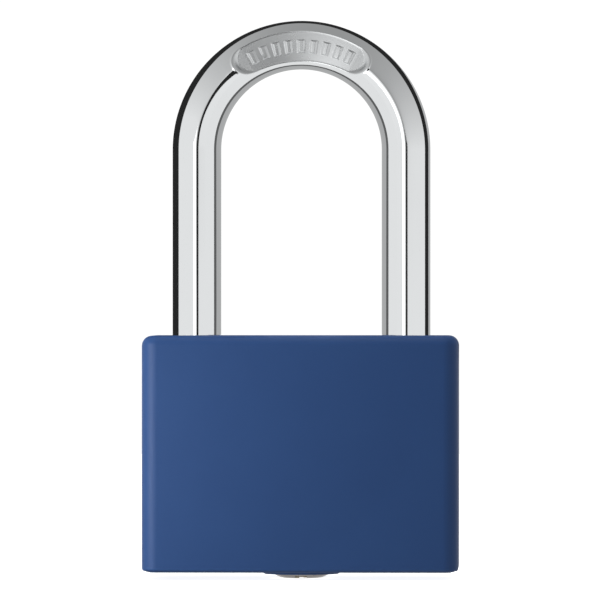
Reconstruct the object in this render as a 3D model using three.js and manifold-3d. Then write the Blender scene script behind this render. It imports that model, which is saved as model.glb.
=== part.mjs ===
// A covered padlock: a moulded blue cover and bottom cap round an aluminium lock body,
// a chrome-plated round shackle, two locking balls, a cam, and a five-pin cylinder.
// Millimetres, +Z up. The origin is under the middle of the lock, level with the tip of the plug.
// The shackle is closed and the plug stands in its open position, so both are free to move.
import * as THREE from 'three';
import { mergeVertices } from 'three/addons/utils/BufferGeometryUtils.js';
import Module from 'manifold-3d';

// ---------- driving dimensions ----------

// shackle
const SHACKLE_DIAMETER = 6.2;
const SHACKLE_INSIDE_WIDTH = 20.4; // between the legs
const SHACKLE_CLEAR_HEIGHT = 33.8; // from the cover's top to the underside of the crown
const LEG_END_CHAMFER = 0.6;
const TOE_LAND = 1.25; // the toe below its ball notch
const OPEN_GAP = 0.5; // how far the lifted toe clears the cover

// cover and bottom cap
const COVER_HEIGHT = 29.75;
const COVER_DEPTH = 18.0;
const COVER_WALL = 1.2;
const COVER_CORNER = 2.0; // radius of the four upright edges
const COVER_TOP_ROUND = 1.3; // radius of the edge round the top
const CAP_THICKNESS = 1.6;
const COLLAR_PROUD = 0.55; // the ring round the plug below the cap's face
const COLLAR_RADIUS = 5.0;

// lock body
const HEEL_SIDE_WALL = 1.05; // aluminium left beside the heel bore
const CHANNEL_ROOF = 1.15; // aluminium above the ball channel
const CHANNEL_FLOOR = 0.8; // aluminium between the ball channel and the heel ring's bore
const BODY_CORNER = 0.9;

// locking balls and cam
const NOTCH_DEPTH = 1.4; // how deep a ball sits in a leg
const BALL_TRAVEL = 1.65; // for a quarter turn of the cam
const CAM_LOW_RADIUS = 3.8;
const CAM_TAIL_HEIGHT = 2.0; // the slotted foot of the cam, under the balls
const TANG_WIDTH = 2.0;
const TANG_LENGTH = 5.0;
const TANG_HEIGHT = 1.5;

// cylinder
const PLUG_RADIUS = 3.9;
const PLUG_HEAD_RADIUS = 4.3;
const PLUG_TIP_RADIUS = 2.3; // the flat on the domed face
const PLUG_DOME_RADIUS = 3.7; // where the dome meets the collar's level
const PLUG_PROUD = 0.5; // the dome below the collar
const PLUG_HEAD_SEAT = 0.5; // the head inside the housing
const HOUSING_RADIUS = 6.1;
const PIN_BLOCK_WIDTH = 4.8;
const PIN_BLOCK_REACH = 12.0;
const PIN_RADIUS = 1.0;
const PIN_PITCH = 2.6;
const FIRST_PIN_HEIGHT = 1.9; // above the housing's lower face
const KEY_PIN_LENGTHS = [2.2, 2.9, 2.5, 3.2, 2.6]; // the lock's combination
const STACK_LENGTH = 6.0; // key pin plus driver pin
const CHAMBER_PLUG_THICKNESS = 0.75;
const KEYWAY_WIDTH = 1.5;
const KEYWAY_TOP = 1.9; // towards the pins
const KEYWAY_BOTTOM = 3.2; // away from the pins
const KEYWAY_WARD = 0.5; // how far each ward stands into the keyway
const CROSS_PIN_RADIUS = 0.6;

// rings and springs
const RING_THICKNESS = 1.0;
const RING_STAND_OUT = 1.05; // the heel ring beyond the leg
const RING_GROOVE_DEPTH = 0.8;
const HEEL_LAND = 0.5; // the leg below its ring
const CLIP_THICKNESS = 0.6;
const CLIP_GROOVE_DEPTH = 0.7;
const CLIP_STAND_OUT = 1.0; // the plug's clip beyond the plug
const RING_MOUTH = Math.PI / 3; // the opening of both split rings
const HEEL_PLUG_THICKNESS = 1.45;
const SHACKLE_SPRING_RADIUS = 1.25; // outside; it stands in a hole up the heel leg
const SHACKLE_SPRING_HOLE_DEPTH = 6.0;
const SHACKLE_SPRING_WIRE = 0.45;
const SHACKLE_SPRING_TURNS = 12;
const PIN_SPRING_WIRE = 0.3;
const PIN_SPRING_TURNS = 5;

// clearances
const FIT = 0.1; // between pieces that are fitted together and stay put
const RUN = 0.2; // round a piece that turns or slides
const SLACK = 0.05; // between the ends of pins, springs and their seats

// how finely curves are divided
const LARGE_SIDES = 32;
const LEG_SIDES = 24;
const PIN_SIDES = 16;
const WIRE_SIDES = 5;
const ARCH_STEPS = 24;
const STEPS_PER_COIL = 8;
const RING_SEGMENTS = 12;
const CAM_POINTS = 40;
const CORNER_SEGMENTS = 4;
const ROUND_SEGMENTS = 3;

// ---------- sizes worked out from them ----------

const legRadius = SHACKLE_DIAMETER / 2;
const legX = (SHACKLE_INSIDE_WIDTH + SHACKLE_DIAMETER) / 2;
const legBore = legRadius + RUN;
const ringRadius = legRadius + RING_STAND_OUT;
const ringBore = ringRadius + RUN;

const bodyWidth = 2 * (legX + ringBore + HEEL_SIDE_WALL);
const bodyDepth = COVER_DEPTH - 2 * (COVER_WALL + FIT);
const coverWidth = bodyWidth + 2 * (COVER_WALL + FIT);

const baseZ = PLUG_PROUD + COLLAR_PROUD;
const coverTopZ = baseZ + COVER_HEIGHT;
const capTopZ = baseZ + CAP_THICKNESS;
const bodyBottomZ = capTopZ + FIT;
const bodyTopZ = coverTopZ - COVER_WALL - FIT;

// the ball fills the way from the cam's low side to the leg
const ballOuterX = legX - legBore - FIT;
const ballRadius = (ballOuterX - CAM_LOW_RADIUS - RUN) / 2;
const ballOpenX = ballOuterX - ballRadius;
const channelRadius = ballRadius + RUN;
const ballZ = bodyTopZ - CHANNEL_ROOF - channelRadius;
const notchRadius = ballRadius + RUN;

const camHighRadius = CAM_LOW_RADIUS + BALL_TRAVEL;
const camChamberRadius = camHighRadius + 3 * RUN;
const camTopZ = ballZ + ballRadius - FIT;
const camBottomZ = ballZ - ballRadius - CAM_TAIL_HEIGHT;
const camChamberTopZ = camTopZ + 2 * FIT;

const clipRoom = CLIP_THICKNESS + 3 * FIT;
const plugTopZ = camBottomZ - RUN;
const housingTopZ = plugTopZ - clipRoom - CLIP_THICKNESS;

const toeEndZ = ballZ - notchRadius - TOE_LAND;
const liftTravel = coverTopZ + OPEN_GAP - toeEndZ;
const ringStopZ = ballZ - channelRadius - CHANNEL_FLOOR;
const ringTopZ = ringStopZ - liftTravel - FIT;
const heelEndZ = ringTopZ - RING_THICKNESS - HEEL_LAND;
const heelPlugTopZ = bodyBottomZ + HEEL_PLUG_THICKNESS;
const springTopZ = heelEndZ + SHACKLE_SPRING_HOLE_DEPTH;
const archZ = coverTopZ + SHACKLE_CLEAR_HEIGHT - SHACKLE_INSIDE_WIDTH / 2;

const plugHeadTopZ = bodyBottomZ + PLUG_HEAD_SEAT;
const shearX = PLUG_RADIUS + 3 * SLACK;
const pinHeights = KEY_PIN_LENGTHS.map((_, i) => bodyBottomZ + FIRST_PIN_HEIGHT + i * PIN_PITCH);
const chamberRadius = PIN_RADIUS + 0.75 * RUN;
const chamberPlugX = PIN_BLOCK_REACH - CHAMBER_PLUG_THICKNESS;
const crossPinX = -(PLUG_RADIUS + RUN + HOUSING_RADIUS) / 2;
const crossPinZ = (bodyBottomZ + housingTopZ) / 2;

// ---------- materials ----------

const moulding = { color: 0x3e5485, roughness: 0.55, metalness: 0.0 };
const chromedSteel = { color: 0xd9dbdd, roughness: 0.12, metalness: 1.0 };
const plainSteel = { color: 0x9fa3a6, roughness: 0.35, metalness: 1.0 };
const aluminium = { color: 0xc6c9cb, roughness: 0.4, metalness: 1.0 };
const brass = { color: 0xb99a52, roughness: 0.35, metalness: 1.0 };
const nickel = { color: 0xcfccc4, roughness: 0.25, metalness: 1.0 };
const springSteel = { color: 0x84888b, roughness: 0.35, metalness: 1.0 };

// ---------- joining and cutting ----------

const wasm = await Module();
wasm.setup();

// A closed three.js geometry as a manifold solid, with its faces turned outwards.
function solid(geometry) {
  const bare = geometry.clone();
  bare.deleteAttribute('normal');
  bare.deleteAttribute('uv');
  const merged = mergeVertices(bare, 1e-4);
  const vertProperties = new Float32Array(merged.getAttribute('position').array);
  const index = merged.getIndex().array;
  const corner = (i) => new THREE.Vector3().fromArray(vertProperties, 3 * i);
  const faces = [];
  let volume = 0;
  for (let i = 0; i < index.length; i += 3) {
    const [a, b, c] = [index[i], index[i + 1], index[i + 2]];
    if (a === b || b === c || c === a) continue;
    faces.push([a, b, c]);
    volume += corner(a).dot(corner(b).cross(corner(c)));
  }
  const turned = volume < 0 ? faces.map(([a, b, c]) => [a, c, b]) : faces;
  const triVerts = new Uint32Array(turned.flat());
  return new wasm.Manifold(new wasm.Mesh({ numProp: 3, vertProperties, triVerts }));
}

function geometryOf(manifold) {
  const mesh = manifold.getMesh();
  const geometry = new THREE.BufferGeometry();
  geometry.setAttribute('position', new THREE.BufferAttribute(new Float32Array(mesh.vertProperties), 3));
  geometry.setIndex(new THREE.BufferAttribute(new Uint32Array(mesh.triVerts), 1));
  geometry.computeVertexNormals();
  return geometry;
}

const cut = (whole, ...tools) => tools.reduce((rest, tool) => rest.subtract(solid(tool)), whole);
const join = (first, ...others) => others.reduce((sum, other) => sum.add(solid(other)), solid(first));

// ---------- basic shapes ----------

// A round bar along Z from low to high.
function rod(radius, low, high, sides) {
  const geometry = new THREE.CylinderGeometry(radius, radius, high - low, sides);
  return geometry.rotateX(Math.PI / 2).translate(0, 0, (low + high) / 2);
}

const rodAlongX = (radius, low, high, sides) => rod(radius, low, high, sides).rotateY(Math.PI / 2);
const rodAlongY = (radius, low, high, sides) => rod(radius, low, high, sides).rotateX(-Math.PI / 2);

// A turned piece: the profile is a list of [radius, height] pairs.
function turned(profile, sides) {
  const points = profile.map(([radius, height]) => new THREE.Vector2(radius, height));
  return new THREE.LatheGeometry(points, sides).rotateX(Math.PI / 2);
}

// A block between two corners.
function block([x0, y0, z0], [x1, y1, z1]) {
  const geometry = new THREE.BoxGeometry(x1 - x0, y1 - y0, z1 - z0);
  return geometry.translate((x0 + x1) / 2, (y0 + y1) / 2, (z0 + z1) / 2);
}

// A rectangle with round corners, centred on the origin.
function roundedOutline(width, depth, radius) {
  const [x, y] = [width / 2, depth / 2];
  const outline = new THREE.Shape();
  outline.moveTo(x - radius, -y);
  outline.absarc(x - radius, -y + radius, radius, -Math.PI / 2, 0);
  outline.absarc(x - radius, y - radius, radius, 0, Math.PI / 2);
  outline.absarc(-x + radius, y - radius, radius, Math.PI / 2, Math.PI);
  outline.absarc(-x + radius, -y + radius, radius, Math.PI, 1.5 * Math.PI);
  outline.closePath();
  return outline;
}

function raised(outline, low, high) {
  const settings = { depth: high - low, bevelEnabled: false, curveSegments: CORNER_SEGMENTS };
  return new THREE.ExtrudeGeometry(outline, settings).translate(0, 0, low);
}

// A split ring lying flat, with its mouth towards the given direction.
function splitRing(inner, outer, thickness, mouthAt) {
  const from = mouthAt + RING_MOUTH / 2;
  const to = mouthAt + 2 * Math.PI - RING_MOUTH / 2;
  const outline = new THREE.Shape();
  outline.absarc(0, 0, outer, from, to, false);
  outline.absarc(0, 0, inner, to, from, true);
  outline.closePath();
  const settings = { depth: thickness, bevelEnabled: false, curveSegments: RING_SEGMENTS };
  return new THREE.ExtrudeGeometry(outline, settings);
}

// ---------- swept shapes ----------

// The shackle's centre line: up the heel leg, over the arch and down the toe leg.
class ShackleLine extends THREE.Curve {
  getPoint(t) {
    const step = t * (ARCH_STEPS + 2);
    if (step < 1) return new THREE.Vector3(-legX, 0, heelEndZ + step * (archZ - heelEndZ));
    if (step > ARCH_STEPS + 1) {
      const down = step - ARCH_STEPS - 1;
      return new THREE.Vector3(legX, 0, archZ - down * (archZ - toeEndZ));
    }
    const angle = Math.PI * (1 - (step - 1) / ARCH_STEPS);
    return new THREE.Vector3(legX * Math.cos(angle), 0, archZ + legX * Math.sin(angle));
  }
  getPointAt(t) {
    return this.getPoint(t);
  }
  getTangentAt(t) {
    const step = t * (ARCH_STEPS + 2);
    const turn = Math.PI * THREE.MathUtils.clamp((step - 1) / ARCH_STEPS, 0, 1);
    return new THREE.Vector3(Math.sin(turn), 0, Math.cos(turn));
  }
}

// A compression spring's wire line along Z, with one close turn at each end.
class SpringLine extends THREE.Curve {
  constructor(radius, wire, length, turns) {
    super();
    Object.assign(this, { radius, wire, length, turns });
  }
  getPoint(t) {
    const close = 1.2 * this.wire;
    const open = (this.length - this.wire - 2 * close) / (this.turns - 2);
    const turn = t * this.turns;
    const opened = THREE.MathUtils.clamp(turn - 1, 0, this.turns - 2);
    const height = this.wire / 2 + opened * open + (turn - opened) * close;
    const angle = 2 * Math.PI * turn;
    return new THREE.Vector3(this.radius * Math.cos(angle), this.radius * Math.sin(angle), height);
  }
}

function circleOutline(radius, sides) {
  const points = [];
  for (let i = 0; i < sides; i++) {
    const angle = (2 * Math.PI * i) / sides;
    points.push(new THREE.Vector2(radius * Math.cos(angle), radius * Math.sin(angle)));
  }
  return new THREE.Shape(points);
}

function springAlongZ(outerRadius, wire, length, turns) {
  const line = new SpringLine(outerRadius - wire / 2, wire, length, turns);
  const settings = { extrudePath: line, steps: turns * STEPS_PER_COIL, bevelEnabled: false };
  return new THREE.ExtrudeGeometry(circleOutline(wire / 2, WIRE_SIDES), settings);
}

// ---------- the pieces ----------

const lock = new THREE.Group();

function add(name, geometry, finish, parent = lock) {
  const mesh = new THREE.Mesh(geometryOf(solid(geometry)), new THREE.MeshStandardMaterial(finish));
  mesh.name = name;
  parent.add(mesh);
  return mesh;
}

const addSolid = (name, manifold, finish, parent) => add(name, geometryOf(manifold), finish, parent);

// One hole for each pin stack, drilled by the given rod from low to high.
function pinChambers(rodAlong, low, high) {
  return pinHeights.map((z) => rodAlong(chamberRadius, low, high, PIN_SIDES).translate(0, 0, z));
}

// The outline that the cylinder's housing has and its pocket in the body repeats.
function housingShape(gap, low, high) {
  const side = PIN_BLOCK_WIDTH / 2 + gap;
  return join(
    rod(HOUSING_RADIUS + gap, low, high, LARGE_SIDES),
    block([0, -side, low], [PIN_BLOCK_REACH + gap, side, high]),
  );
}

function makeCover() {
  const settings = {
    depth: COVER_HEIGHT,
    bevelEnabled: true,
    bevelThickness: COVER_TOP_ROUND,
    bevelSize: COVER_TOP_ROUND,
    bevelOffset: -COVER_TOP_ROUND,
    bevelSegments: ROUND_SEGMENTS,
    curveSegments: CORNER_SEGMENTS,
  };
  const outline = roundedOutline(coverWidth, COVER_DEPTH, COVER_CORNER);
  const bar = new THREE.ExtrudeGeometry(outline, settings).translate(0, 0, baseZ - COVER_TOP_ROUND);
  const inside = roundedOutline(bodyWidth + 2 * FIT, bodyDepth + 2 * FIT, COVER_CORNER - COVER_WALL);
  const below = block([-coverWidth, -coverWidth, -COVER_HEIGHT], [coverWidth, coverWidth, baseZ]);
  const legHole = rod(legBore, bodyTopZ - COVER_WALL, coverTopZ + COVER_WALL, LEG_SIDES);
  return cut(
    solid(bar),
    below,
    raised(inside, baseZ - COVER_WALL, bodyTopZ + FIT),
    legHole.clone().translate(legX, 0, 0),
    legHole.translate(-legX, 0, 0),
  );
}

function makeBottomCap() {
  const outline = roundedOutline(bodyWidth, bodyDepth, BODY_CORNER);
  const plate = join(
    raised(outline, baseZ, capTopZ),
    rod(COLLAR_RADIUS, PLUG_PROUD, capTopZ, LARGE_SIDES),
  );
  return cut(plate, rod(PLUG_HEAD_RADIUS + RUN, 0, capTopZ + FIT, LARGE_SIDES));
}

function makeLockBody() {
  const outline = roundedOutline(bodyWidth, bodyDepth, BODY_CORNER);
  const below = bodyBottomZ - CAP_THICKNESS;
  const above = bodyTopZ + COVER_WALL;
  const whole = cut(
    solid(raised(outline, bodyBottomZ, bodyTopZ)),
    rod(camChamberRadius, below, camChamberTopZ, LARGE_SIDES),
    rod(legBore, below, above, LEG_SIDES).translate(-legX, 0, 0),
    rod(ringBore, below, ringStopZ, LEG_SIDES).translate(-legX, 0, 0),
    rod(legBore, toeEndZ - OPEN_GAP, above, LEG_SIDES).translate(legX, 0, 0),
    rodAlongX(channelRadius, -legX, bodyWidth, LEG_SIDES).translate(0, 0, ballZ),
    rodAlongY(CROSS_PIN_RADIUS + FIT, -bodyDepth, bodyDepth, PIN_SIDES).translate(crossPinX, 0, crossPinZ),
  );
  return whole.subtract(housingShape(FIT, below, housingTopZ + FIT));
}

function makeShackle() {
  const settings = {
    extrudePath: new ShackleLine(),
    steps: ARCH_STEPS + 2,
    bevelEnabled: false,
  };
  const bar = new THREE.ExtrudeGeometry(circleOutline(legRadius, LEG_SIDES), settings);
  const grooveTopZ = ringTopZ + FIT;
  const grooveBottomZ = ringTopZ - RING_THICKNESS - FIT;
  const groove = turned([
    [legRadius - RING_GROOVE_DEPTH, grooveBottomZ],
    [legRadius + RUN, grooveBottomZ],
    [legRadius + RUN, grooveTopZ],
    [legRadius - RING_GROOVE_DEPTH, grooveTopZ],
    [legRadius - RING_GROOVE_DEPTH, grooveBottomZ],
  ], LEG_SIDES);
  const notch = new THREE.SphereGeometry(notchRadius, LEG_SIDES, PIN_SIDES);
  const notchX = legX - legRadius + NOTCH_DEPTH + RUN - notchRadius;
  return cut(
    solid(bar),
    groove.translate(-legX, 0, 0),
    endChamfer(toeEndZ).translate(legX, 0, 0),
    rod(SHACKLE_SPRING_RADIUS + RUN, heelEndZ - FIT, springTopZ, PIN_SIDES).translate(-legX, 0, 0),
    notch.clone().translate(notchX, 0, ballZ),
    notch.translate(-notchX, 0, ballZ),
  );
}

// The ring of metal that a chamfer takes off the end of a leg.
function endChamfer(endZ) {
  const outer = legRadius + RUN;
  return turned([
    [legRadius - LEG_END_CHAMFER, endZ],
    [legRadius - LEG_END_CHAMFER, endZ - RUN],
    [outer, endZ - RUN],
    [outer, endZ + LEG_END_CHAMFER + RUN],
    [legRadius - LEG_END_CHAMFER, endZ],
  ], LEG_SIDES);
}

// A two-lobed cam whose radius rises evenly, so each ball moves in step with the plug.
function makeCam() {
  const points = [];
  for (let i = 0; i < CAM_POINTS; i++) {
    const angle = (2 * Math.PI * i) / CAM_POINTS;
    const fromX = Math.abs(Math.atan2(Math.sin(angle), Math.abs(Math.cos(angle))));
    const radius = CAM_LOW_RADIUS + (BALL_TRAVEL * fromX) / (Math.PI / 2);
    points.push(new THREE.Vector2(radius * Math.cos(angle), radius * Math.sin(angle)));
  }
  const slot = block(
    [-TANG_LENGTH / 2 - RUN, -TANG_WIDTH / 2 - RUN, camBottomZ - FIT],
    [TANG_LENGTH / 2 + RUN, TANG_WIDTH / 2 + RUN, camBottomZ + TANG_HEIGHT],
  );
  return cut(solid(raised(new THREE.Shape(points), camBottomZ, camTopZ)), slot);
}

function makeHousing() {
  const bore = rod(PLUG_RADIUS + RUN, bodyBottomZ - FIT, housingTopZ + FIT, LARGE_SIDES);
  const seat = rod(PLUG_HEAD_RADIUS + RUN, bodyBottomZ - FIT, plugHeadTopZ + FIT, LARGE_SIDES);
  const crossHole = rodAlongY(CROSS_PIN_RADIUS + FIT, -bodyDepth, bodyDepth, PIN_SIDES);
  return cut(
    housingShape(0, bodyBottomZ, housingTopZ),
    bore,
    seat,
    crossHole.translate(crossPinX, 0, crossPinZ),
    ...pinChambers(rodAlongX, 0, bodyWidth),
  );
}

// The plug's keyway: a slot along Y with one ward on each side.
function keywayOutline() {
  const x = KEYWAY_WIDTH / 2;
  const ward = x - KEYWAY_WARD;
  const third = (KEYWAY_TOP + KEYWAY_BOTTOM) / 3;
  const outline = new THREE.Shape();
  outline.moveTo(-x, KEYWAY_TOP);
  outline.lineTo(-x, -KEYWAY_BOTTOM + 1.5 * third);
  outline.lineTo(-ward, -KEYWAY_BOTTOM + 1.5 * third);
  outline.lineTo(-ward, -KEYWAY_BOTTOM + third);
  outline.lineTo(-x, -KEYWAY_BOTTOM + third);
  outline.lineTo(-x, -KEYWAY_BOTTOM);
  outline.lineTo(x, -KEYWAY_BOTTOM);
  outline.lineTo(x, -KEYWAY_BOTTOM + 2 * third);
  outline.lineTo(ward, -KEYWAY_BOTTOM + 2 * third);
  outline.lineTo(ward, -KEYWAY_BOTTOM + 2.5 * third);
  outline.lineTo(x, -KEYWAY_BOTTOM + 2.5 * third);
  outline.lineTo(x, KEYWAY_TOP);
  outline.closePath();
  return outline;
}

function makePlug() {
  const grooveRadius = PLUG_RADIUS - CLIP_GROOVE_DEPTH;
  const grooveBottomZ = housingTopZ + FIT;
  const grooveTopZ = grooveBottomZ + CLIP_THICKNESS + 2 * FIT;
  const bar = turned([
    [0, 0],
    [PLUG_TIP_RADIUS, 0],
    [(PLUG_TIP_RADIUS + PLUG_DOME_RADIUS) / 2, PLUG_PROUD / 3],
    [PLUG_DOME_RADIUS, PLUG_PROUD],
    [PLUG_HEAD_RADIUS, baseZ],
    [PLUG_HEAD_RADIUS, plugHeadTopZ],
    [PLUG_RADIUS, plugHeadTopZ],
    [PLUG_RADIUS, grooveBottomZ],
    [grooveRadius, grooveBottomZ],
    [grooveRadius, grooveTopZ],
    [PLUG_RADIUS, grooveTopZ],
    [PLUG_RADIUS, plugTopZ],
    [0, plugTopZ],
  ], LARGE_SIDES);
  const tang = block(
    [-TANG_LENGTH / 2, -TANG_WIDTH / 2, plugTopZ - FIT],
    [TANG_LENGTH / 2, TANG_WIDTH / 2, camBottomZ + TANG_HEIGHT - RUN],
  );
  const keyway = raised(keywayOutline(), -FIT, housingTopZ - FIT);
  return cut(join(bar, tang), keyway, ...pinChambers(rodAlongY, -FIT, HOUSING_RADIUS));
}

// A key pin stands on its pointed end, which the key's cuts carry.
function keyPin(length) {
  const point = PIN_RADIUS / 2;
  const flat = PIN_RADIUS - point;
  return turned([[0, 0], [flat, 0], [PIN_RADIUS, point], [PIN_RADIUS, length], [0, length]], PIN_SIDES);
}

function driverPin(length) {
  const edge = PIN_RADIUS / 5;
  return turned([
    [0, 0],
    [PIN_RADIUS - edge, 0],
    [PIN_RADIUS, edge],
    [PIN_RADIUS, length - edge],
    [PIN_RADIUS - edge, length],
    [0, length],
  ], PIN_SIDES);
}

addSolid('cover', makeCover(), moulding);
addSolid('bottom_cap', makeBottomCap(), moulding);
addSolid('lock_body', makeLockBody(), aluminium);
addSolid('shackle', makeShackle(), chromedSteel);

const heelRing = add(
  'heel_ring',
  splitRing(legRadius - RING_GROOVE_DEPTH + FIT, ringRadius, RING_THICKNESS, 0),
  springSteel,
);
heelRing.position.set(-legX, 0, ringTopZ - RING_THICKNESS);

const heelPlug = add('heel_bore_plug', rod(ringBore - FIT, 0, HEEL_PLUG_THICKNESS, LEG_SIDES), aluminium);
heelPlug.position.set(-legX, 0, bodyBottomZ);

const springRoom = springTopZ - heelPlugTopZ - 2 * SLACK;
const shackleSpring = add(
  'shackle_spring',
  springAlongZ(SHACKLE_SPRING_RADIUS, SHACKLE_SPRING_WIRE, springRoom, SHACKLE_SPRING_TURNS),
  springSteel,
);
shackleSpring.position.set(-legX, 0, heelPlugTopZ + SLACK);

for (const [name, side] of [['toe_ball', 1], ['heel_ball', -1]]) {
  const ball = add(name, new THREE.SphereGeometry(ballRadius, PIN_SIDES, PIN_SIDES / 2 + 2), chromedSteel);
  ball.position.set(side * ballOpenX, 0, ballZ);
}

const channelPlugX = legX + legBore + OPEN_GAP;
const channelPlug = add(
  'channel_plug',
  rodAlongX(channelRadius - FIT, 0, bodyWidth / 2 - FIT - channelPlugX, LEG_SIDES),
  aluminium,
);
channelPlug.position.set(channelPlugX, 0, ballZ);

addSolid('lock_cam', makeCam(), plainSteel);
addSolid('cylinder_housing', makeHousing(), brass);
addSolid('cylinder_plug', makePlug(), nickel);

const clipInner = PLUG_RADIUS - CLIP_GROOVE_DEPTH + FIT;
const clipOuter = PLUG_RADIUS + CLIP_STAND_OUT;
const plugClip = add('plug_clip', splitRing(clipInner, clipOuter, CLIP_THICKNESS, -Math.PI / 2), springSteel);
plugClip.position.set(0, 0, housingTopZ + 2 * FIT);

const crossPin = add(
  'cross_pin',
  rodAlongY(CROSS_PIN_RADIUS, -bodyDepth / 2 + FIT, bodyDepth / 2 - FIT, PIN_SIDES),
  plainSteel,
);
crossPin.position.set(crossPinX, 0, crossPinZ);

// The pin stacks: key pins stand in the plug, towards +Y while it is in its open position,
// and driver pins, springs and chamber plugs lie in the housing, towards +X.
KEY_PIN_LENGTHS.forEach((length, i) => {
  const number = i + 1;
  const stack = new THREE.Group();
  stack.position.set(0, 0, pinHeights[i]);
  lock.add(stack);

  const key = add(`key_pin_${number}`, keyPin(length), brass, stack);
  key.rotation.x = -Math.PI / 2;
  key.position.y = PLUG_RADIUS - SLACK - length;

  const driverLength = STACK_LENGTH - length;
  const driver = add(`driver_pin_${number}`, driverPin(driverLength), brass, stack);
  driver.rotation.y = Math.PI / 2;
  driver.position.x = shearX;

  const springX = shearX + driverLength + SLACK;
  const room = chamberPlugX - SLACK - springX;
  const spring = add(
    `pin_spring_${number}`,
    springAlongZ(PIN_RADIUS, PIN_SPRING_WIRE, room, PIN_SPRING_TURNS),
    springSteel,
    stack,
  );
  spring.rotation.y = Math.PI / 2;
  spring.position.x = springX;

  const stopper = add(
    `chamber_plug_${number}`,
    rod(chamberRadius - SLACK, 0, CHAMBER_PLUG_THICKNESS, PIN_SIDES),
    brass,
    stack,
  );
  stopper.rotation.y = Math.PI / 2;
  stopper.position.x = chamberPlugX;
});

export default lock;
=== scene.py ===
# %% [markdown]
# # A covered padlock
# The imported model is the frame: it holds every size and place, in metres, with +Z up and the
# front of the lock towards -Y. Loading it first lets every piece below take its size from it.

# %% Load the frame
import math

import bmesh
import bpy
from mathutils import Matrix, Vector


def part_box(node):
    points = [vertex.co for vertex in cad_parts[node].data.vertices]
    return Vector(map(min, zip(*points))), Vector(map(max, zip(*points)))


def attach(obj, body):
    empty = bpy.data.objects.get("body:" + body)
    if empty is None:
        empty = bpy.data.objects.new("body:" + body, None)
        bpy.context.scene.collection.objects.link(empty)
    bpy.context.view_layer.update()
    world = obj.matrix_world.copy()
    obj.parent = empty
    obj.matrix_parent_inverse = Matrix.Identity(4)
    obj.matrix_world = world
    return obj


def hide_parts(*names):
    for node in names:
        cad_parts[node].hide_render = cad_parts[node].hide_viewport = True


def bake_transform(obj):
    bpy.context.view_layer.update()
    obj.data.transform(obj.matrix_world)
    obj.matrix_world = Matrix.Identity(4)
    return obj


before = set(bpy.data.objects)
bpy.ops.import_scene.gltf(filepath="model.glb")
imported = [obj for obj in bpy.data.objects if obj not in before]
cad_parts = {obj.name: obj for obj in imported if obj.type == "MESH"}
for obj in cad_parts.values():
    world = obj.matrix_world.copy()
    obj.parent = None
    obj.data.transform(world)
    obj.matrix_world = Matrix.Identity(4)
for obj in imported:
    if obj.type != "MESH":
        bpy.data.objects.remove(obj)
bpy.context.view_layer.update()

MM = 0.001
FIT = 0.1 * MM  # the gap between pieces that are fitted together and stay put
RUN = 0.2 * MM  # the gap round a piece that turns or slides
NEAR = 0.01 * MM  # less than this off a height counts as being at it

# %% [markdown]
# ## Sizes taken from the frame
# Each box below is a CAD node's lowest and highest corner. A size that the boxes don't give,
# such as the radius of an edge, has a name beside the piece that uses it.

# %% Measure the frame
cover_low, cover_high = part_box("cover")
shackle_low, shackle_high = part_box("shackle")
plug_low, plug_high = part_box("cylinder_plug")
body_low, body_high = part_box("lock_body")
toe_low, toe_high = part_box("toe_ball")

leg_radius = shackle_high.y
leg_x = shackle_high.x - leg_radius
arch_z = shackle_high.z - leg_x - leg_radius
cover_wall = body_low.x - cover_low.x - FIT
ball_z = (toe_low.z + toe_high.z) / 2
print("leg", round(leg_radius / MM, 2), "mm round,", round(2 * leg_x / MM, 2), "mm between centres")

# %% [markdown]
# ## Camera
# A product picture of a lock is taken from far away with a long lens, so its sides stay
# parallel. The camera stands 1 m in front, level with the middle of the lock, and a degree and
# a half round to the right, which shows a sliver of the right side.

# %% Place the camera
CAMERA_DISTANCE = 1.0
CAMERA_TURN = math.radians(1.5)
VIEW_WIDTH = 76.3 * MM  # what the frame takes in at the shackle
EYE_LEVEL = 35.3 * MM
VIEW_CENTRE_X = -0.19 * MM

camera_data = bpy.data.cameras.new("camera")
camera = bpy.data.objects.new("camera", camera_data)
bpy.context.scene.collection.objects.link(camera)
camera_data.sensor_width = 36.0
camera_data.lens = camera_data.sensor_width * CAMERA_DISTANCE / VIEW_WIDTH
camera_data.clip_start = 0.01
aim = Vector((VIEW_CENTRE_X, 0, EYE_LEVEL))
back = Vector((math.sin(CAMERA_TURN), -math.cos(CAMERA_TURN), 0))
camera.location = aim + CAMERA_DISTANCE * back
camera.rotation_euler = (math.pi / 2, 0, CAMERA_TURN)
bpy.context.scene.camera = camera
bpy.context.scene.view_settings.view_transform = "Standard"
print("lens", round(camera_data.lens), "mm")

# %% [markdown]
# ## One helper for nodes
# A finish is a small graph of nodes. One function adds a node, sets it up and joins its inputs,
# so each material below reads as a list of what it is made of.


# %% Add a node, and turn a colour to linear
def linear(colour):
    """An sRGB hex colour, such as "#2a4f8f", as the linear values that shaders use."""
    parts = [int(colour[i : i + 2], 16) / 255 for i in (1, 3, 5)]
    return [c / 12.92 if c <= 0.04045 else ((c + 0.055) / 1.055) ** 2.4 for c in parts] + [1.0]


def add_node(tree, kind, links=(), inputs=(), **settings):
    """Adds a node. links joins an input to another node's output; inputs sets plain values."""
    node = tree.nodes.new(kind)
    for name, value in settings.items():
        setattr(node, name, value)
    for name, value in dict(inputs).items():
        node.inputs[name].default_value = value
    for name, (source, output) in dict(links).items():
        tree.links.new(source.outputs[output], node.inputs[name])
    return node


def new_material(name):
    """An empty material, with its tree, its output and its object coordinates."""
    material = bpy.data.materials.new(name)
    material.use_nodes = True
    tree = material.node_tree
    tree.nodes.clear()
    place = add_node(tree, "ShaderNodeTexCoord")
    return material, tree, place


def close_material(tree, shader):
    add_node(tree, "ShaderNodeOutputMaterial", {"Surface": (shader, 0)})


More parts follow.
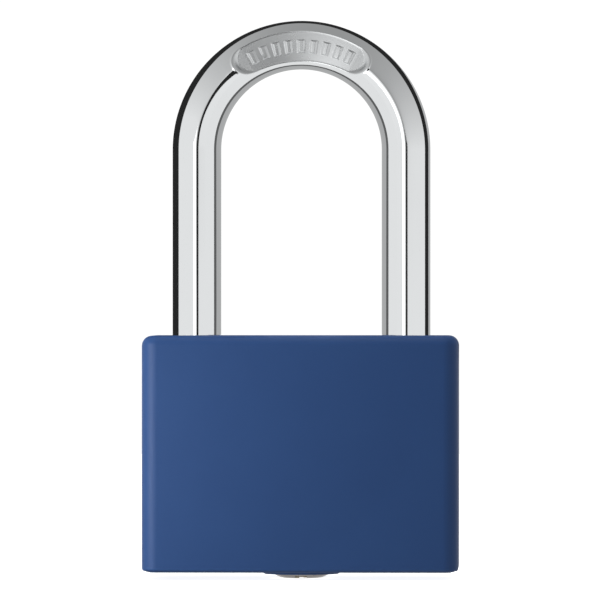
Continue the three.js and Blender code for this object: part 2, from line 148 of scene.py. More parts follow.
# %% [markdown]
# ## Light
# Chrome shows only what stands round it, so the room is the finish. This room is a white tent
# round the line of view: white at both sides and below, and greyer straight above. That gives
# the arch its darker outer half and leaves the legs bright. Low down and behind it
# is darker too, so that the legs keep an outline when they are seen from above. Matt surfaces
# see a dimmer tent, and a soft lamp on the left makes the slow fade from left to right across
# the cover. That lamp is linked to the moulded pieces, so it leaves no spot on the chrome.

# %% Make the world
# How high a direction is, seen along the line of view, from -1 below to 1 above, and how
# bright the tent is there.
TENT = [(-1.0, 1.05), (0.15, 1.0), (0.5, 0.72), (0.8, 0.50), (1.0, 0.395)]
TENT_LEAN = 0.15  # the right side of the tent is a little darker
MATT_LIGHT = 0.43
WHITE_PAPER = 1.05
LOW_FADE = (-0.12, -0.5)  # from this height down to this one,
BEHIND_FADE = (-0.7, 0.5)  # and from the front to behind,
DARK_SHARE = 0.3  # the tent fades to this share of its brightness

world = bpy.data.worlds.new("studio")
bpy.context.scene.world = world
world.use_nodes = True
sky = world.node_tree
sky.nodes.clear()
direction = add_node(sky, "ShaderNodeTexCoord")
across = add_node(
    sky, "ShaderNodeVectorMath", {0: (direction, "Generated")}, {1: (1, 0, 1)}, operation="MULTIPLY"
)
around = add_node(sky, "ShaderNodeVectorMath", {0: (across, "Vector")}, operation="NORMALIZE")
height = add_node(
    sky, "ShaderNodeVectorMath", {0: (around, "Vector")}, {1: (TENT_LEAN, 0, 1)}, operation="DOT_PRODUCT"
)
level = add_node(sky, "ShaderNodeMapRange", {"Value": (height, "Value")}, {"From Min": -1.0})
shade = add_node(sky, "ShaderNodeValToRGB", {"Fac": (level, "Result")})
for _ in TENT[2:]:
    shade.color_ramp.elements.new(0.5)
for stop, (high, value) in zip(shade.color_ramp.elements, TENT):
    stop.position = (high + 1) / 2
    stop.color = (value, value, value, 1)
parts = add_node(sky, "ShaderNodeSeparateXYZ", {"Vector": (direction, "Generated")})
low = add_node(
    sky, "ShaderNodeMapRange", {"Value": (parts, "Z")}, {"From Min": LOW_FADE[0], "From Max": LOW_FADE[1]}
)
behind = add_node(
    sky,
    "ShaderNodeMapRange",
    {"Value": (parts, "Y")},
    {"From Min": BEHIND_FADE[0], "From Max": BEHIND_FADE[1]},
)
ground = add_node(
    sky, "ShaderNodeMath", {0: (low, "Result"), 1: (behind, "Result")}, operation="MULTIPLY"
)
dim = add_node(
    sky, "ShaderNodeMapRange", {"Value": (ground, "Value")}, {"To Min": 1.0, "To Max": DARK_SHARE}
)
ray = add_node(sky, "ShaderNodeLightPath")
gloss = add_node(sky, "ShaderNodeBackground", {"Color": (shade, "Color"), "Strength": (dim, "Result")})
matt = add_node(sky, "ShaderNodeBackground", {}, {"Color": (1, 1, 1, 1), "Strength": MATT_LIGHT})
seen = add_node(sky, "ShaderNodeBackground", {}, {"Color": (1, 1, 1, 1), "Strength": WHITE_PAPER})
mixed = add_node(sky, "ShaderNodeMixShader", {0: (ray, "Is Diffuse Ray"), 1: (gloss, 0), 2: (matt, 0)})
final = add_node(sky, "ShaderNodeMixShader", {0: (ray, "Is Camera Ray"), 1: (mixed, 0), 2: (seen, 0)})
add_node(sky, "ShaderNodeOutputWorld", {"Surface": (final, 0)})


# %% Hang the lamps
def lamp(name, place, size, radiance, towards):
    """A soft rectangular lamp that faces a point. radiance is how bright its face is."""
    data = bpy.data.lights.new(name, "AREA")
    data.shape = "RECTANGLE"
    data.size, data.size_y = size
    data.energy = radiance * math.pi * size[0] * size[1]
    obj = bpy.data.objects.new(name, data)
    bpy.context.scene.collection.objects.link(obj)
    obj.location = place
    obj.rotation_euler = (Vector(place) - Vector(towards)).to_track_quat("Z", "Y").to_euler()
    obj.visible_camera = False
    return obj


cover_middle = (cover_low + cover_high) / 2
lit_by_softbox = bpy.data.collections.new("lit_by_softbox")
softbox = lamp(
    "left_softbox", place=(-0.075, -0.06, 0.02), size=(0.05, 0.09), radiance=6.2, towards=cover_middle
)
softbox.light_linking.receiver_collection = lit_by_softbox
top_lamp = lamp(
    "top_softbox", place=(-0.02, 0.02, 0.30), size=(0.25, 0.25), radiance=3.3, towards=cover_middle
)
top_lamp.visible_glossy = False
STRIP_HEIGHT = 0.7
STRIP_TOP = 0.09  # just above eye level, so the strip lights the legs and the left of the arch
strip_z = STRIP_TOP - STRIP_HEIGHT / 2
lamp(
    "bright_strip",
    place=(-0.185, -1.0, strip_z),
    size=(0.17, STRIP_HEIGHT),
    radiance=1.3,
    towards=(0, 0, strip_z),
)
print("lamps:", len(bpy.data.lights))

# %% [markdown]
# Polished metal needs dark things to reflect as well, or it looks like white plastic. A black
# flag follows the outside of the loop and draws its black outline. Beside the right leg the
# flag is narrow, and a dim grey card carries on behind it. Inside the loop a card
# follows it too: white in front, then a thin dark line, then grey, which closes the view
# from one leg to the other. The dark stand of the camera draws the line down each leg's middle.


# %% Stand the flags and cards
def glow(name, value):
    """A card of one even brightness."""
    material, tree, _ = new_material(name)
    close_material(tree, add_node(tree, "ShaderNodeEmission", {}, {"Strength": value}))
    return material


def stand(name, corners, faces, material):
    """A piece of studio kit that only shows in reflections."""
    mesh = bpy.data.meshes.new(name)
    mesh.from_pydata([tuple(c) for c in corners], [], faces)
    obj = bpy.data.objects.new(name, mesh)
    bpy.context.scene.collection.objects.link(obj)
    mesh.materials.append(material)
    obj.visible_camera = obj.visible_diffuse = obj.visible_shadow = False


RIBBON_STEPS = 96
CROWN_POWER = 4  # the higher, the nearer the top a ribbon keeps the edges that it has at the legs


def ribbon(name, reach, left, crown, right, foot, material):
    """A strip that follows the loop at this distance from its middle. left, crown and right are
    its near and far edges beside the left leg, over the crown and beside the right leg, in
    millimetres behind the loop's middle."""
    line = [(-reach, foot, 0.0)]
    for i in range(RIBBON_STEPS + 1):
        angle = math.pi * (1 - i / RIBBON_STEPS)
        share = math.sin(angle) ** CROWN_POWER
        line.append((reach * math.cos(angle), arch_z + reach * math.sin(angle), share))
    line.append((reach, foot, 0.0))
    corners = []
    for x, z, share in line:
        for leg_y, crown_y in zip(left if x < 0 else right, crown):
            corners.append((x, (leg_y + (crown_y - leg_y) * share) * MM, z))
    faces = [(2 * i, 2 * i + 1, 2 * i + 3, 2 * i + 2) for i in range(len(line) - 1)]
    stand(name, corners, faces, material)


black = glow("black_flag", 0.025)
OUTER_REACH = leg_x + 10 * MM
INNER_REACH = 4 * MM
CARD_FRONT = -12
CARD_BACK = 45
flag_foot = cover_high.z - 3 * MM  # a flag stands beside the cover, so it can start lower
card_foot = cover_high.z + 0.02 * MM  # any lower, and the cards would stand in the cover's top
OUTER_FLAG = ((-1.45, CARD_BACK), (4.1, CARD_BACK), (-0.3, 5.5))
OUTER_GREY = ((CARD_BACK, CARD_BACK), (CARD_BACK, CARD_BACK), (OUTER_FLAG[2][1], CARD_BACK))
ribbon("outer_flag", OUTER_REACH, *OUTER_FLAG, flag_foot, black)
ribbon("outer_grey", OUTER_REACH, *OUTER_GREY, flag_foot, glow("dim_grey_card", 0.55))
INNER_LINE = ((-2.0, 0.2), (0.3, 1.9), (-2.0, 0.2))
INNER_WHITE = [(CARD_FRONT, near) for near, far in INNER_LINE]
INNER_GREY = [(far, CARD_BACK) for near, far in INNER_LINE]
ribbon("inner_white", INNER_REACH, *INNER_WHITE, card_foot, glow("white_card", 1.0))
ribbon("inner_line", INNER_REACH, *INNER_LINE, card_foot, glow("dark_card", 0.14))
ribbon("inner_grey", INNER_REACH, *INNER_GREY, card_foot, glow("grey_card", 0.52))

CAMERA_STAND = [(-0.03, -0.5), (0.35, -0.5), (0.155, 0.012), (0.15, 0.085), (0.0, 0.085)]
stand_y = -CAMERA_DISTANCE - 0.02
stand("camera_stand", [(x, stand_y, z) for x, z in CAMERA_STAND], [tuple(range(5))], black)

# %% Lay the floor
bpy.ops.object.select_all(action="DESELECT")
FLOOR_GAP = 0.05 * MM  # under the lock, so that the two surfaces don't fight
bpy.ops.mesh.primitive_plane_add(size=1.6, location=(0, 0, -FLOOR_GAP))
floor = bpy.context.active_object
floor.name = "floor"
floor.visible_diffuse = False
floor.visible_glossy = False
paper, tree, place = new_material("pale_paper")
fibres = add_node(tree, "ShaderNodeTexNoise", {"Vector": (place, "Object")}, {"Scale": 900.0})
fibre_bump = add_node(
    tree, "ShaderNodeBump", {"Height": (fibres, "Fac")}, {"Strength": 0.05, "Distance": 0.2 * MM}
)
sheet = add_node(
    tree,
    "ShaderNodeBsdfPrincipled",
    {"Normal": (fibre_bump, "Normal")},
    {
        "Base Color": linear("#f4f4f4"),
        "Roughness": 0.8,
        "Specular IOR Level": 0.1,
        "Emission Color": linear("#ffffff"),
        "Emission Strength": 0.88,
    },
)
# Seen from below, the paper lets the view through to the lock's underside.
side = add_node(tree, "ShaderNodeNewGeometry")
clear = add_node(tree, "ShaderNodeBsdfTransparent")
one_sided = add_node(
    tree, "ShaderNodeMixShader", {0: (side, "Backfacing"), 1: (sheet, 0), 2: (clear, 0)}
)
close_material(tree, one_sided)
floor.data.materials.append(paper)

# %% [markdown]
# ## Finish: moulded thermoplastic
# The cover and its cap are injection-moulded and dyed right through. The mould was lightly
# spark-eroded, which leaves a fine grain that spreads the light, so the face looks satin and
# its colour deepens slowly away from the lamp. Real grain is about 0.05 mm, too fine to show,
# so it is drawn at 0.25 mm. The edges get a patchy painted highlight, a lighter colour there.

# %% Moulded thermoplastic
GRAIN = 0.25 * MM
CLOUD = 9 * MM  # the size of the dye's faint clouds
# How far in from an edge the painted highlight reaches.
EDGE_HIGHLIGHT_REACH = 0.5 * MM
moulded, tree, place = new_material("moulded_thermoplastic")
grain = add_node(
    tree,
    "ShaderNodeTexNoise",
    {"Vector": (place, "Object")},
    {"Scale": 1 / GRAIN, "Detail": 3.0, "Roughness": 0.6},
)
cloud = add_node(
    tree, "ShaderNodeTexNoise", {"Vector": (place, "Object")}, {"Scale": 1 / CLOUD, "Detail": 4.0}
)
dye = add_node(
    tree,
    "ShaderNodeMix",
    {"Factor": (cloud, "Fac")},
    {"A": linear("#1e3f71"), "B": linear("#224476")},
    data_type="RGBA",
)
bevel = add_node(tree, "ShaderNodeBevel", {}, {"Radius": EDGE_HIGHLIGHT_REACH}, samples=6)
surface = add_node(tree, "ShaderNodeNewGeometry")
turned_in = add_node(
    tree,
    "ShaderNodeVectorMath",
    {0: (bevel, "Normal"), 1: (surface, "Normal")},
    operation="DOT_PRODUCT",
)
# A mask of the edges, where the colour is lightened as a painted highlight.
edge = add_node(
    tree,
    "ShaderNodeMapRange",
    {"Value": (turned_in, "Value")},
    {"From Min": 0.999, "From Max": 0.93},
)
# The painted highlight: the edge mask, made patchy by the dye's clouds, lightens the colour.
edge_highlight_share = add_node(
    tree, "ShaderNodeMath", {0: (edge, "Result"), 1: (cloud, "Fac")}, operation="MULTIPLY"
)
dye_with_painted_highlight = add_node(
    tree,
    "ShaderNodeMix",
    {"Factor": (edge_highlight_share, "Value"), "A": (dye, "Result")},
    {"B": linear("#35588a")},
    data_type="RGBA",
)
sheen = add_node(
    tree,
    "ShaderNodeMapRange",
    {"Value": (grain, "Fac")},
    {"From Min": 0.3, "From Max": 0.7, "To Min": 0.46, "To Max": 0.56},
)
grain_bump = add_node(
    tree, "ShaderNodeBump", {"Height": (grain, "Fac")}, {"Strength": 0.12, "Distance": 0.02 * MM}
)
plastic = add_node(
    tree,
    "ShaderNodeBsdfPrincipled",
    {"Base Color": (dye_with_painted_highlight, "Result"), "Roughness": (sheen, "Result"), "Normal": (grain_bump, "Normal")},
    {"IOR": 1.49, "Specular IOR Level": 0.30},
)
close_material(tree, plastic)

# %% [markdown]
# ## Finish: metals
# Bright chrome over polished steel is a mirror with a faint blue-grey cast. Its roughness
# hardly varies, only where fingers and hasps have rubbed it. The other metals differ in colour
# and in the marks of the tool that cut them: rings on turned brass, a fine grain on
# machined aluminium, and a darker blue-grey on spring wire. The brass in the keyway is dull,
# and darkened as painted shade inside the keyway.


# %% A metal with a tool's marks
SMEAR = 4 * MM  # the size of the patches where the polish differs


def metal(name, light, dark, roughness, spread, mark, depth, stretch=(1, 1, 1), struck=(0.0, "#808080")):
    """mark is the spacing of the tool's marks and depth their height; stretch draws them out.
    struck is how much rougher the metal is, and its colour, where the "struck" attribute is 1."""
    material, tree, place = new_material(name)
    mapped = add_node(
        tree, "ShaderNodeMapping", {"Vector": (place, "Object")}, {"Scale": stretch}
    )
    marks = add_node(
        tree,
        "ShaderNodeTexNoise",
        {"Vector": (mapped, "Vector")},
        {"Scale": 1 / mark, "Detail": 3.0},
    )
    smears = add_node(
        tree, "ShaderNodeTexNoise", {"Vector": (place, "Object")}, {"Scale": 1 / SMEAR, "Detail": 5.0}
    )
    colour = add_node(
        tree,
        "ShaderNodeMix",
        {"Factor": (smears, "Fac")},
        {"A": linear(light), "B": linear(dark)},
        data_type="RGBA",
    )
    polish = add_node(
        tree,
        "ShaderNodeMapRange",
        {"Value": (smears, "Fac")},
        {"From Min": 0.3, "From Max": 0.7, "To Min": roughness - spread, "To Max": roughness + spread},
    )
    field = add_node(tree, "ShaderNodeAttribute", attribute_name="struck")
    toned = add_node(
        tree,
        "ShaderNodeMix",
        {"Factor": (field, "Fac"), "A": (colour, "Result")},
        {"B": linear(struck[1])},
        data_type="RGBA",
    )
    finish = add_node(
        tree,
        "ShaderNodeMath",
        {0: (field, "Fac"), 2: (polish, "Result")},
        {1: struck[0]},
        operation="MULTIPLY_ADD",
    )
    bump = add_node(
        tree, "ShaderNodeBump", {"Height": (marks, "Fac")}, {"Strength": 0.3, "Distance": depth}
    )
    shader = add_node(
        tree,
        "ShaderNodeBsdfPrincipled",
        {
            "Base Color": (toned, "Result"),
            "Roughness": (finish, "Value"),
            "Normal": (bump, "Normal"),
        },
        {"Metallic": 1.0},
    )
    close_material(tree, shader)
    return material


STRUCK = (0.24, "#c6c8c9")
chrome = metal("bright_chrome_plate", "#dfe1e2", "#dddfe0", 0.035, 0.01, 3 * MM, 0.0001 * MM, struck=STRUCK)
ball_steel = metal("lapped_ball_steel", "#c9ccd0", "#bfc3c8", 0.12, 0.03, 0.6 * MM, 0.0004 * MM)
nickel = metal("satin_nickel_plate", "#e0dad6", "#d4ceca", 0.26, 0.05, 0.3 * MM, 0.004 * MM)
brass = metal("turned_brass", "#d0b178", "#bf9c5c", 0.30, 0.06, 0.35 * MM, 0.006 * MM)
# The keyway's bare brass, darkened as painted shade inside the keyway.
keyway_brass_painted_shade = metal("broached_brass_painted_shade", "#aa9f8c", "#94897a", 0.42, 0.05, 0.3 * MM, 0.005 * MM)
aluminium = metal("machined_aluminium", "#d3d5d7", "#c2c5c8", 0.36, 0.06, 0.3 * MM, 0.006 * MM, (1, 1, 0.1))
tool_steel = metal("ground_steel", "#a9adb1", "#969a9f", 0.32, 0.06, 0.3 * MM, 0.005 * MM)
spring_wire = metal("drawn_spring_wire", "#83878c", "#6e7277", 0.30, 0.06, 0.25 * MM, 0.004 * MM)
print("materials:", len(bpy.data.materials))

# %% [markdown]
# ## Helpers for modelling
# Each operator acts on what is selected, so everything is deselected first. Faces and edges
# are then picked in code, by where they are and which way they point.


# %% Select, start and finish
def only(*objects):
    """Selects these objects and nothing else, and makes the first one active."""
    if bpy.context.object and bpy.context.object.mode != "OBJECT":
        bpy.ops.object.mode_set(mode="OBJECT")
    bpy.ops.object.select_all(action="DESELECT")
    for o in objects:
        o.select_set(True)
    bpy.context.view_layer.objects.active = objects[0]


def edit(o):
    only(o)
    bpy.ops.object.mode_set(mode="EDIT")
    bpy.ops.mesh.select_all(action="SELECT")


def pick(kind, test):
    """In edit mode, selects the faces or edges that test(middle, direction) accepts."""
    bpy.ops.mesh.select_mode(type=kind)
    bpy.ops.mesh.select_all(action="DESELECT")
    mesh = bmesh.from_edit_mesh(bpy.context.edit_object.data)
    found = 0
    for part in mesh.faces if kind == "FACE" else mesh.edges:
        if kind == "FACE":
            middle, way = part.calc_center_median(), part.normal
        else:
            a, b = (v.co for v in part.verts)
            middle, way = (a + b) / 2, (b - a).normalized()
        if test(middle, way):
            part.select_set(True)
            found += 1
    bmesh.update_edit_mesh(bpy.context.edit_object.data)
    return found


def upright_edge(at, way):
    return abs(way.z) > 0.9


def level_edge(at, way):
    return abs(way.z) < 0.1


def settle():
    """Leaves edit mode and puts the object's place, turn and scale into its mesh."""
    o = bpy.context.active_object
    only(o)
    bpy.ops.object.transform_apply(location=True, rotation=True, scale=True)
    return o


def modify(o, kind, **settings):
    """Adds a modifier with these settings and applies it at once."""
    only(o)
    modifier = o.modifiers.new(kind.lower(), kind)
    for name, value in settings.items():
        setattr(modifier, name, value)
    bpy.ops.object.modifier_apply(modifier=modifier.name)


def combine(o, tool, operation="DIFFERENCE"):
    """Cuts tool out of o, or joins it on, and removes tool."""
    modify(o, "BOOLEAN", operation=operation, object=tool, solver="EXACT")
    bpy.data.objects.remove(tool)


def copy_for_nodes(first, nodes):
    """Copies the first node's piece for the others. Each copy has its own mesh at its own place."""
    pieces = [first]
    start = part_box(nodes[0])[0]
    for node in nodes[1:]:
        piece = first.copy()
        piece.data = first.data.copy()
        bpy.context.scene.collection.objects.link(piece)
        only(piece)
        piece.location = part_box(node)[0] - start
        pieces.append(settle())
    return pieces


def finish_piece(o, name, node, body, material, smooth=32):
    """Closes seams, turns faces outwards, smooths gentle edges and hands the piece to its body."""
    edit(o)
    bpy.ops.mesh.remove_doubles(threshold=0.001 * MM)
    bpy.ops.mesh.normals_make_consistent(inside=False)
    only(o)
    bpy.ops.object.shade_smooth_by_angle(angle=math.radians(smooth))
    o.name = o.data.name = name
    o.data.materials.clear()
    o.data.materials.append(material)
    if body:
        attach(o, body)
    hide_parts(node)
    print(f"{name}: {len(o.data.polygons)} faces")
    return o


# %% A block, a rod and a turned piece
def block(low, high):
    """A box between two corners."""
    middle = (Vector(low) + Vector(high)) / 2
    bpy.ops.mesh.primitive_cube_add(size=1, location=middle, scale=Vector(high) - Vector(low))
    return settle()


TURNS = {"X": (0, math.pi / 2, 0), "Y": (-math.pi / 2, 0, 0), "Z": (0, 0, 0)}


def turn(rings, place=(0, 0, 0), axis="Z", sides=64):
    """A turned piece. A filled circle at the first (radius, height) is extruded and scaled
    through the others, then laid along its axis with height 0 at its place."""
    radius, height = rings[0]
    bpy.ops.mesh.primitive_circle_add(
        vertices=sides, radius=radius, fill_type="NGON", location=(0, 0, height)
    )
    o = settle()
    edit(o)
    for (r0, h0), (r1, h1) in zip(rings, rings[1:]):
        bpy.ops.mesh.extrude_region_move(TRANSFORM_OT_translate={"value": (0, 0, h1 - h0)})
        if r1 != r0:
            share = r1 / r0
            bpy.ops.transform.resize(value=(share, share, 1), center_override=(0, 0, h1))
    bpy.ops.mesh.select_all(action="SELECT")
    bpy.ops.mesh.normals_make_consistent(inside=False)
    only(o)
    o.rotation_euler = TURNS[axis]
    o.location = place
    return settle()


def rod(radius, low, high, place=(0, 0, 0), axis="Z", sides=64):
    return turn([(radius, low), (radius, high)], place, axis, sides)


def rounded(radius, low, high, edge, steps=4):
    """Rings for a rod whose two ends are rounded off by edge."""
    foot = []
    for i in range(steps + 1):
        angle = math.pi / 2 * i / steps
        foot.append((radius - edge + edge * math.sin(angle), low + edge - edge * math.cos(angle)))
    head = [(r, low + high - h) for r, h in reversed(foot)]
    return foot + head


# %% [markdown]
# ## The cover
# The cover is one moulded shell: a top and four sides round the metal body, open underneath.
# It could be carved out of a block, but a mould-maker thinks in walls, so a box is rounded,
# its open face is inset by the wall and the inset is pushed up inside. The upright edges and
# the edge round the top are soft; the lower edge is crisp, where the cap meets it.

# %% Shape the cover
UPRIGHT_ROUND = 2.0 * MM
TOP_ROUND = 1.3 * MM
FOOT_ROUND = 0.35 * MM
LIP = 0.25 * MM

cover = block(cover_low, cover_high)
edit(cover)
pick("EDGE", upright_edge)
bpy.ops.mesh.bevel(offset=UPRIGHT_ROUND, segments=8, profile=0.5, affect="EDGES")
pick("EDGE", lambda at, way: at.z > cover_high.z - NEAR)
bpy.ops.mesh.bevel(offset=TOP_ROUND, segments=7, profile=0.5, affect="EDGES")
pick("EDGE", lambda at, way: at.z < cover_low.z + NEAR)
bpy.ops.mesh.bevel(offset=FOOT_ROUND, segments=3, profile=0.5, affect="EDGES")
pick("FACE", lambda at, way: way.z < -0.9)
bpy.ops.mesh.inset(thickness=cover_wall - FOOT_ROUND)
cavity = body_high.z + FIT - cover_low.z
bpy.ops.mesh.extrude_region_move(TRANSFORM_OT_translate={"value": (0, 0, cavity)})
print("cover: bevelled shell,", len(cover.data.polygons), "faces in object mode")
only(cover)
hole_radius = leg_radius + RUN
for side in (-1, 1):
    hole = rod(hole_radius, body_high.z - MM, cover_high.z + MM, (side * leg_x, 0, 0), sides=96)
    combine(cover, hole)
edit(cover)


def round_a_leg_hole(at, way):
    """True for the hole's edge on the cover's top."""
    off = Vector((abs(at.x) - leg_x, at.y)).length
    return at.z > cover_high.z - NEAR and off < hole_radius + 2 * NEAR


print("hole edges:", pick("EDGE", round_a_leg_hole))
bpy.ops.mesh.bevel(offset=LIP, segments=3, profile=0.5, affect="EDGES")
only(cover)
finish_piece(cover, "moulded_cover", "cover", "case", moulded)

# %% [markdown]
# ## The bottom cap
# The cap closes the cover and carries a collar round the plug. Plate and collar are one
# moulding: the plate is an inset box, and the collar is turned and joined on.

# %% Shape the cap
cap_low, cap_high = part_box("bottom_cap")
CAP_CORNER = 0.9 * MM
CAP_EDGE = 0.25 * MM
COLLAR_RADIUS = 5.0 * MM
COLLAR_ROUND = (0.3 * MM, 0.25 * MM)  # inwards and upwards, at the collar's lip
COLLAR_DRAFT = 0.2 * MM  # how much wider the collar is at its root
plug_hole = plug_high.x + RUN
cap = block((cap_low.x, cap_low.y, cover_low.z), cap_high)
edit(cap)
pick("EDGE", upright_edge)
bpy.ops.mesh.bevel(offset=CAP_CORNER, segments=6, profile=0.5, affect="EDGES")
pick("EDGE", lambda at, way: at.z < cover_low.z + NEAR)
bpy.ops.mesh.bevel(offset=CAP_EDGE, segments=3, profile=0.5, affect="EDGES")
only(cap)
collar_root = COLLAR_RADIUS + COLLAR_DRAFT
collar = turn(
    [(COLLAR_RADIUS - COLLAR_ROUND[0], cap_low.z), (COLLAR_RADIUS, cap_low.z + COLLAR_ROUND[1])]
    + [(collar_root, cover_low.z), (collar_root, cover_low.z + MM)],
    sides=96,
)
combine(cap, collar, "UNION")
combine(cap, rod(plug_hole, cap_low.z - MM, cap_high.z + MM, sides=96))
finish_piece(cap, "moulded_bottom_cap", "bottom_cap", "case", moulded)
for moulding in (cover, cap):
    lit_by_softbox.objects.link(moulding)

# %% [markdown]
# ## The shackle
# A round bar is bent over a former. The same is done here: a circle is drawn up the heel leg,
# spun over the arch and drawn down the toe leg. The ring groove, both ball notches and the
# spring's hole are then cut. The field on the crown is pressed in by a die: the faces there
# are divided finely and pushed in, leaving a thin rim and a row of plain raised bars.

# %% Bend the bar
CHAMFER = 0.6 * MM  # on the toe's end
HEEL_CHAMFER = 0.15 * MM
TOE_BELOW_BALL = 1.4 * MM
LEG_SIDES = 80
ARCH_STEPS = 120
GROOVE_DEPTH = 0.8 * MM
ring_low, ring_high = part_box("heel_ring")
groove = (ring_low.z - FIT, ring_high.z + FIT)
toe_end = toe_low.z - TOE_BELOW_BALL
heel_end = shackle_low.z
heel_rings = [
    (leg_radius - HEEL_CHAMFER, heel_end),
    (leg_radius, heel_end + HEEL_CHAMFER),
    (leg_radius, groove[0]),
    (leg_radius - GROOVE_DEPTH, groove[0]),
    (leg_radius - GROOVE_DEPTH, groove[1]),
    (leg_radius, groove[1]),
    (leg_radius, arch_z),
]
shackle = turn(heel_rings, (-leg_x, 0, 0), sides=LEG_SIDES)
edit(shackle)
pick("FACE", lambda at, way: at.z > arch_z - NEAR)
bpy.ops.mesh.spin(steps=ARCH_STEPS, angle=math.pi, center=(0, 0, arch_z), axis=(0, -1, 0))
down = toe_end + CHAMFER - arch_z
bpy.ops.mesh.extrude_region_move(TRANSFORM_OT_translate={"value": (0, 0, down)})
bpy.ops.mesh.extrude_region_move(TRANSFORM_OT_translate={"value": (0, 0, -CHAMFER)})
share = (leg_radius - CHAMFER) / leg_radius
bpy.ops.transform.resize(value=(share, share, 1), center_override=(leg_x, 0, toe_end))
only(shackle)
top = max(v.co.z for v in shackle.data.vertices)
print("shackle top", round(top / MM, 2), "frame", round(shackle_high.z / MM, 2))

# %% Press the field on the crown
FIELD_ANGLE = math.radians(39.6)  # from the top to each end
FIELD_HALF = 2.03 * MM  # half its width, measured round the bar
FIELD_SHIFT = 0.13 * MM  # the field sits this much nearer the loop's inside
SCOOP_DEPTH = 0.6 * MM  # at the middle; the floor meets the bar's surface at both sides
MIDDLE_WIDER = 0.2 * MM  # half the field's extra width at the middle
MIDDLE_DEEPER = 0.12 * MM
MIDDLE_SHIFT = 0.12 * MM  # and the middle sits this much further inside still
SIDE_WALL = 0.25 * MM
END_WALL = 1.1 * MM
RIM_HEIGHT = 0.02 * MM
RIM_HALF = 0.2 * MM
BARS = 9  # an odd number, so that one is in the middle
BAR_HALF_LENGTH = 0.95 * MM
BAR_HALF_WIDTH = 0.36 * MM
BAR_HEIGHT = 0.15 * MM
BAR_SLOPE = 0.1 * MM
DIE_MARGIN = 0.08  # radians past the field's ends that are divided finely too
FRONT = 0.3  # how far a point faces the front, from 0 to 1, before the die can reach it
core = FIELD_ANGLE * leg_x - FIELD_HALF


def smooth(low, high, value):
    """0 below low, 1 above high, and an even S between them."""
    t = min(max((value - low) / (high - low), 0), 1)
    return t * t * (3 - 2 * t)


def midway(along):
    """1 at the middle of the field's length and 0 where its round ends begin."""
    return 1 - min(abs(along) / core, 1) ** 2


def beyond_field(along, across):
    """How far a point is outside the field's outline; less than zero inside."""
    return math.hypot(max(abs(along) - core, 0), across) - FIELD_HALF - MIDDLE_WIDER * midway(along)


def pressed(along, across):
    """How far the crown's surface stands out at a point of the field."""
    outside = beyond_field(along, across)
    angle = across / leg_radius
    depth = SCOOP_DEPTH + MIDDLE_DEEPER * midway(along)
    floor_at = (leg_radius - depth) / math.cos(angle)
    at_end = min(max(abs(along) - core, 0) / FIELD_HALF, 1)
    wall = SIDE_WALL + (END_WALL - SIDE_WALL) * at_end
    height = min(floor_at - leg_radius, 0) * smooth(0, wall, -outside)
    height += RIM_HEIGHT * (1 - smooth(0, RIM_HALF, abs(outside)))
    pitch = 2 * core / BARS
    if abs(along) < core:
        off = abs(along - round(along / pitch) * pitch)
        over = max(off - BAR_HALF_WIDTH, abs(across) - BAR_HALF_LENGTH)
        height += BAR_HEIGHT * (1 - smooth(-BAR_SLOPE, BAR_SLOPE, over))
    return height


def field_place(at):
    """Where a point of the bar lies on the field: along it, across it, and how far it faces front."""
    radial = Vector((at.x, 0, at.z - arch_z)).normalized()
    outward = (at - Vector((0, 0, arch_z)) - leg_x * radial).normalized()
    along = leg_x * math.atan2(at.x, at.z - arch_z)
    across = leg_radius * math.atan2(outward.dot(radial), -outward.y)
    across += FIELD_SHIFT + MIDDLE_SHIFT * midway(along)
    return along, across, -outward.y


def on_the_field(at, way):
    """True for faces at the crown's front that the die reaches."""
    angle = math.atan2(at.x, at.z - arch_z)
    return at.y < -0.5 * leg_radius and abs(angle) < FIELD_ANGLE + DIE_MARGIN and at.z > arch_z


edit(shackle)
print("faces under the die:", pick("FACE", on_the_field))
bpy.ops.mesh.subdivide(number_cuts=3)
only(shackle)
for vertex in shackle.data.vertices:
    at = vertex.co
    if at.z < arch_z:
        continue
    radial = Vector((at.x, 0, at.z - arch_z)).normalized()
    centre = Vector((0, 0, arch_z)) + leg_x * radial
    along, across, front = field_place(at)
    out = leg_radius + (pressed(along, across) if front > FRONT else 0)
    vertex.co = centre + out * (at - centre).normalized()

# %% Cut the notches and the spring's hole
NOTCH_DEPTH = 1.6 * MM  # how deep a notch is in its leg
ball_radius = (toe_high.z - toe_low.z) / 2
notch_radius = ball_radius + RUN
notch_x = leg_x - leg_radius + NOTCH_DEPTH - notch_radius
for side in (-1, 1):
    bpy.ops.mesh.primitive_uv_sphere_add(
        segments=64, ring_count=32, radius=notch_radius, location=(side * notch_x, 0, ball_z)
    )
    combine(shackle, settle())
spring_low, spring_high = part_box("shackle_spring")
spring_hole = (spring_high.y - spring_low.y) / 2 + RUN
combine(shackle, rod(spring_hole, heel_end - MM, spring_high.z + 0.05 * MM, (-leg_x, 0, 0)))
finish_piece(shackle, "bent_shackle", "shackle", "shackle", chrome, smooth=40)

# %% Mark the struck field
# The die leaves the field a little rougher than the polished bar, even under the plating.
# Its colour is also a little darker there.
struck = shackle.data.attributes.new("struck", "FLOAT", "POINT")
for vertex, share in zip(shackle.data.vertices, struck.data):
    along, across, front = field_place(vertex.co)
    inside = -beyond_field(along, across)
    share.value = smooth(0, SIDE_WALL, inside) if front > FRONT and vertex.co.z > arch_z else 0

# %% [markdown]
# ## The plug
# The plug is turned: a domed face, a head that seats in the housing, a waist for its clip, and
# a flat tang that turns the cam. The keyway is broached through it, with a ward on each side.

